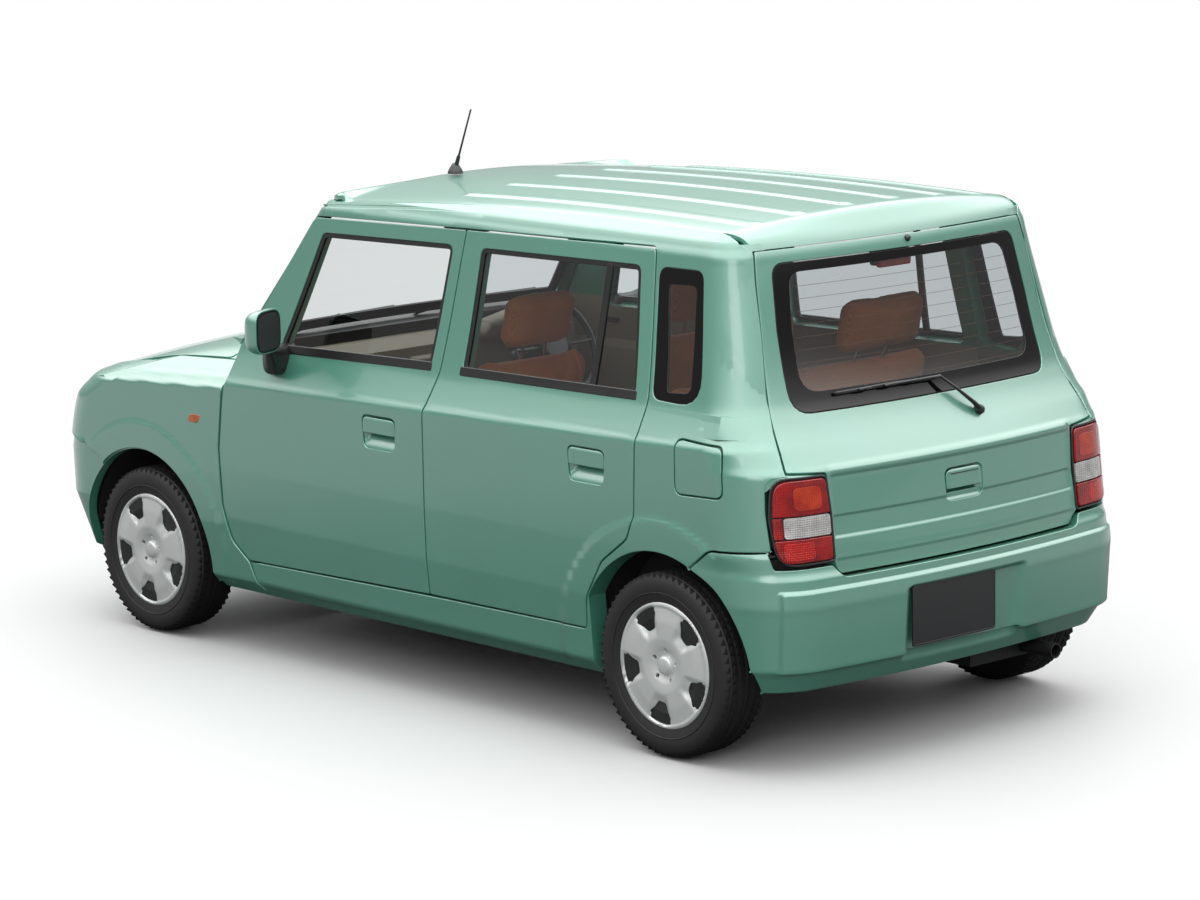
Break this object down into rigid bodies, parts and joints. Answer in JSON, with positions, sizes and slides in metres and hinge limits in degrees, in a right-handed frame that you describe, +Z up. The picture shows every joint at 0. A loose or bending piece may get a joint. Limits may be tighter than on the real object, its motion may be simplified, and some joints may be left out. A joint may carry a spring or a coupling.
{
  "type": "kei car",
  "caption": "Small upright five-door car with a green body, hinged doors, bonnet and tailgate, steered front wheels and fabric seats.",
  "frame": {"origin": "on the floor, half way along the car and on its centre plane", "axes": "+X to the nose, +Y to the left side, +Z up"},
  "size_m": [3.3942, 1.8, 1.6759],
  "materials": {
    "paint": "metallic",
    "floor_paint": "satin",
    "black_plastic": "matte",
    "cabin_plastic": "matte",
    "glass": "gloss",
    "lamp_clear": "gloss",
    "lamp_red": "gloss",
    "tyre": "matte",
    "wheel_silver": "metallic",
    "steel": "satin",
    "cast": "matte",
    "fabric": "matte",
    "plate_white": "satin"
  },
  "bodies": {
    "car_body": {"antenna": "black_plastic", "body_side_left": "paint", "body_side_right": "paint", "cowl": "black_plastic", "dashboard": "cabin_plastic", "engine_block": "cast", "exhaust": "steel", "floor_pan": "floor_paint", "front_bumper": "paint", "front_fenders": "paint", "front_frame": "steel", "front_seats": "fabric", "front_struts": "steel", "front_wheelhouses": "black_plastic", "fuel_tank": "steel", "grille": "black_plastic", "headlamps": "lamp_clear", "licence_plate": "plate_white", "quarter_windows": "glass", "rear_axle": "steel", "rear_bumper": "paint", "rear_seat": "fabric", "rear_wheelhouses": "black_plastic", "roof_panel": "paint", "steering_column": "black_plastic", "tail_lamps": "lamp_red", "windscreen": "glass"},
    "front_left_door": {"front_door_left": "paint", "front_door_glass_left": "glass", "door_mirror_left": "paint"},
    "front_right_door": {"front_door_right": "paint", "front_door_glass_right": "glass", "door_mirror_right": "paint"},
    "rear_left_door": {"rear_door_left": "paint", "rear_door_glass_left": "glass"},
    "rear_right_door": {"rear_door_right": "paint", "rear_door_glass_right": "glass"},
    "tailgate": {"tailgate": "paint", "tailgate_glass": "glass"},
    "bonnet": {"bonnet": "paint"},
    "fuel_flap": {"fuel_flap": "paint"},
    "left_knuckle": {"knuckle_left": "steel"},
    "right_knuckle": {"knuckle_right": "steel"},
    "front_left_wheel": {"front_tyre_left": "tyre", "front_wheel_left": "wheel_silver"},
    "front_right_wheel": {"front_tyre_right": "tyre", "front_wheel_right": "wheel_silver"},
    "rear_left_wheel": {"rear_tyre_left": "tyre", "rear_wheel_left": "wheel_silver"},
    "rear_right_wheel": {"rear_tyre_right": "tyre", "rear_wheel_right": "wheel_silver"},
    "steering_wheel": {"steering_wheel": "black_plastic"}
  },
  "joints": [
    {"name": "front_left_door_swing", "type": "hinge", "parent": "car_body", "child": "front_left_door", "pos_m": [0.723, 0.7255, 0.64], "axis": [0, 0, -1], "range_deg": [0, 65]},
    {"name": "front_right_door_swing", "type": "hinge", "parent": "car_body", "child": "front_right_door", "pos_m": [0.723, -0.7255, 0.64], "axis": [0, 0, 1], "range_deg": [0, 65]},
    {"name": "rear_left_door_swing", "type": "hinge", "parent": "car_body", "child": "rear_left_door", "pos_m": [-0.249, 0.7255, 0.64], "axis": [0, 0, -1], "range_deg": [0, 65]},
    {"name": "rear_right_door_swing", "type": "hinge", "parent": "car_body", "child": "rear_right_door", "pos_m": [-0.249, -0.7255, 0.64], "axis": [0, 0, 1], "range_deg": [0, 65]},
    {"name": "tailgate_lift", "type": "hinge", "parent": "car_body", "child": "tailgate", "pos_m": [-1.411, 0, 1.396], "axis": [0, 1, 0], "range_deg": [0, 75]},
    {"name": "bonnet_lift", "type": "hinge", "parent": "car_body", "child": "bonnet", "pos_m": [0.905, 0, 0.895], "axis": [0, -1, 0], "range_deg": [0, 50]},
    {"name": "fuel_flap_swing", "type": "hinge", "parent": "car_body", "child": "fuel_flap", "pos_m": [-1.285, 0.7255, 0.838], "axis": [0, 0, -1], "range_deg": [0, 90]},
    {"name": "left_steer", "type": "hinge", "parent": "car_body", "child": "left_knuckle", "pos_m": [1.1675, 0.6125, 0.266], "axis": [0, 0, 1], "range_deg": [-35, 35]},
    {"name": "right_steer", "type": "hinge", "parent": "car_body", "child": "right_knuckle", "pos_m": [1.1675, -0.6125, 0.266], "axis": [0, 0, 1], "range_deg": [-35, 35]},
    {"name": "front_left_roll", "type": "hinge", "parent": "left_knuckle", "child": "front_left_wheel", "pos_m": [1.1675, 0.6475, 0.266], "axis": [0, 1, 0], "continuous": true},
    {"name": "front_right_roll", "type": "hinge", "parent": "right_knuckle", "child": "front_right_wheel", "pos_m": [1.1675, -0.6475, 0.266], "axis": [0, 1, 0], "continuous": true},
    {"name": "rear_left_roll", "type": "hinge", "parent": "car_body", "child": "rear_left_wheel", "pos_m": [-1.1925, 0.6475, 0.266], "axis": [0, 1, 0], "continuous": true},
    {"name": "rear_right_roll", "type": "hinge", "parent": "car_body", "child": "rear_right_wheel", "pos_m": [-1.1925, -0.6475, 0.266], "axis": [0, 1, 0], "continuous": true},
    {"name": "steering_wheel_turn", "type": "hinge", "parent": "car_body", "child": "steering_wheel", "pos_m": [0.42, -0.33, 0.87], "axis": [-0.8829, 0, 0.4695], "range_deg": [-525, 525]}
  ],
  "couplings": [
    {"joint": "right_steer", "follows": "left_steer", "ratio": 1},
    {"joint": "steering_wheel_turn", "follows": "left_steer", "ratio": 15}
  ]
}
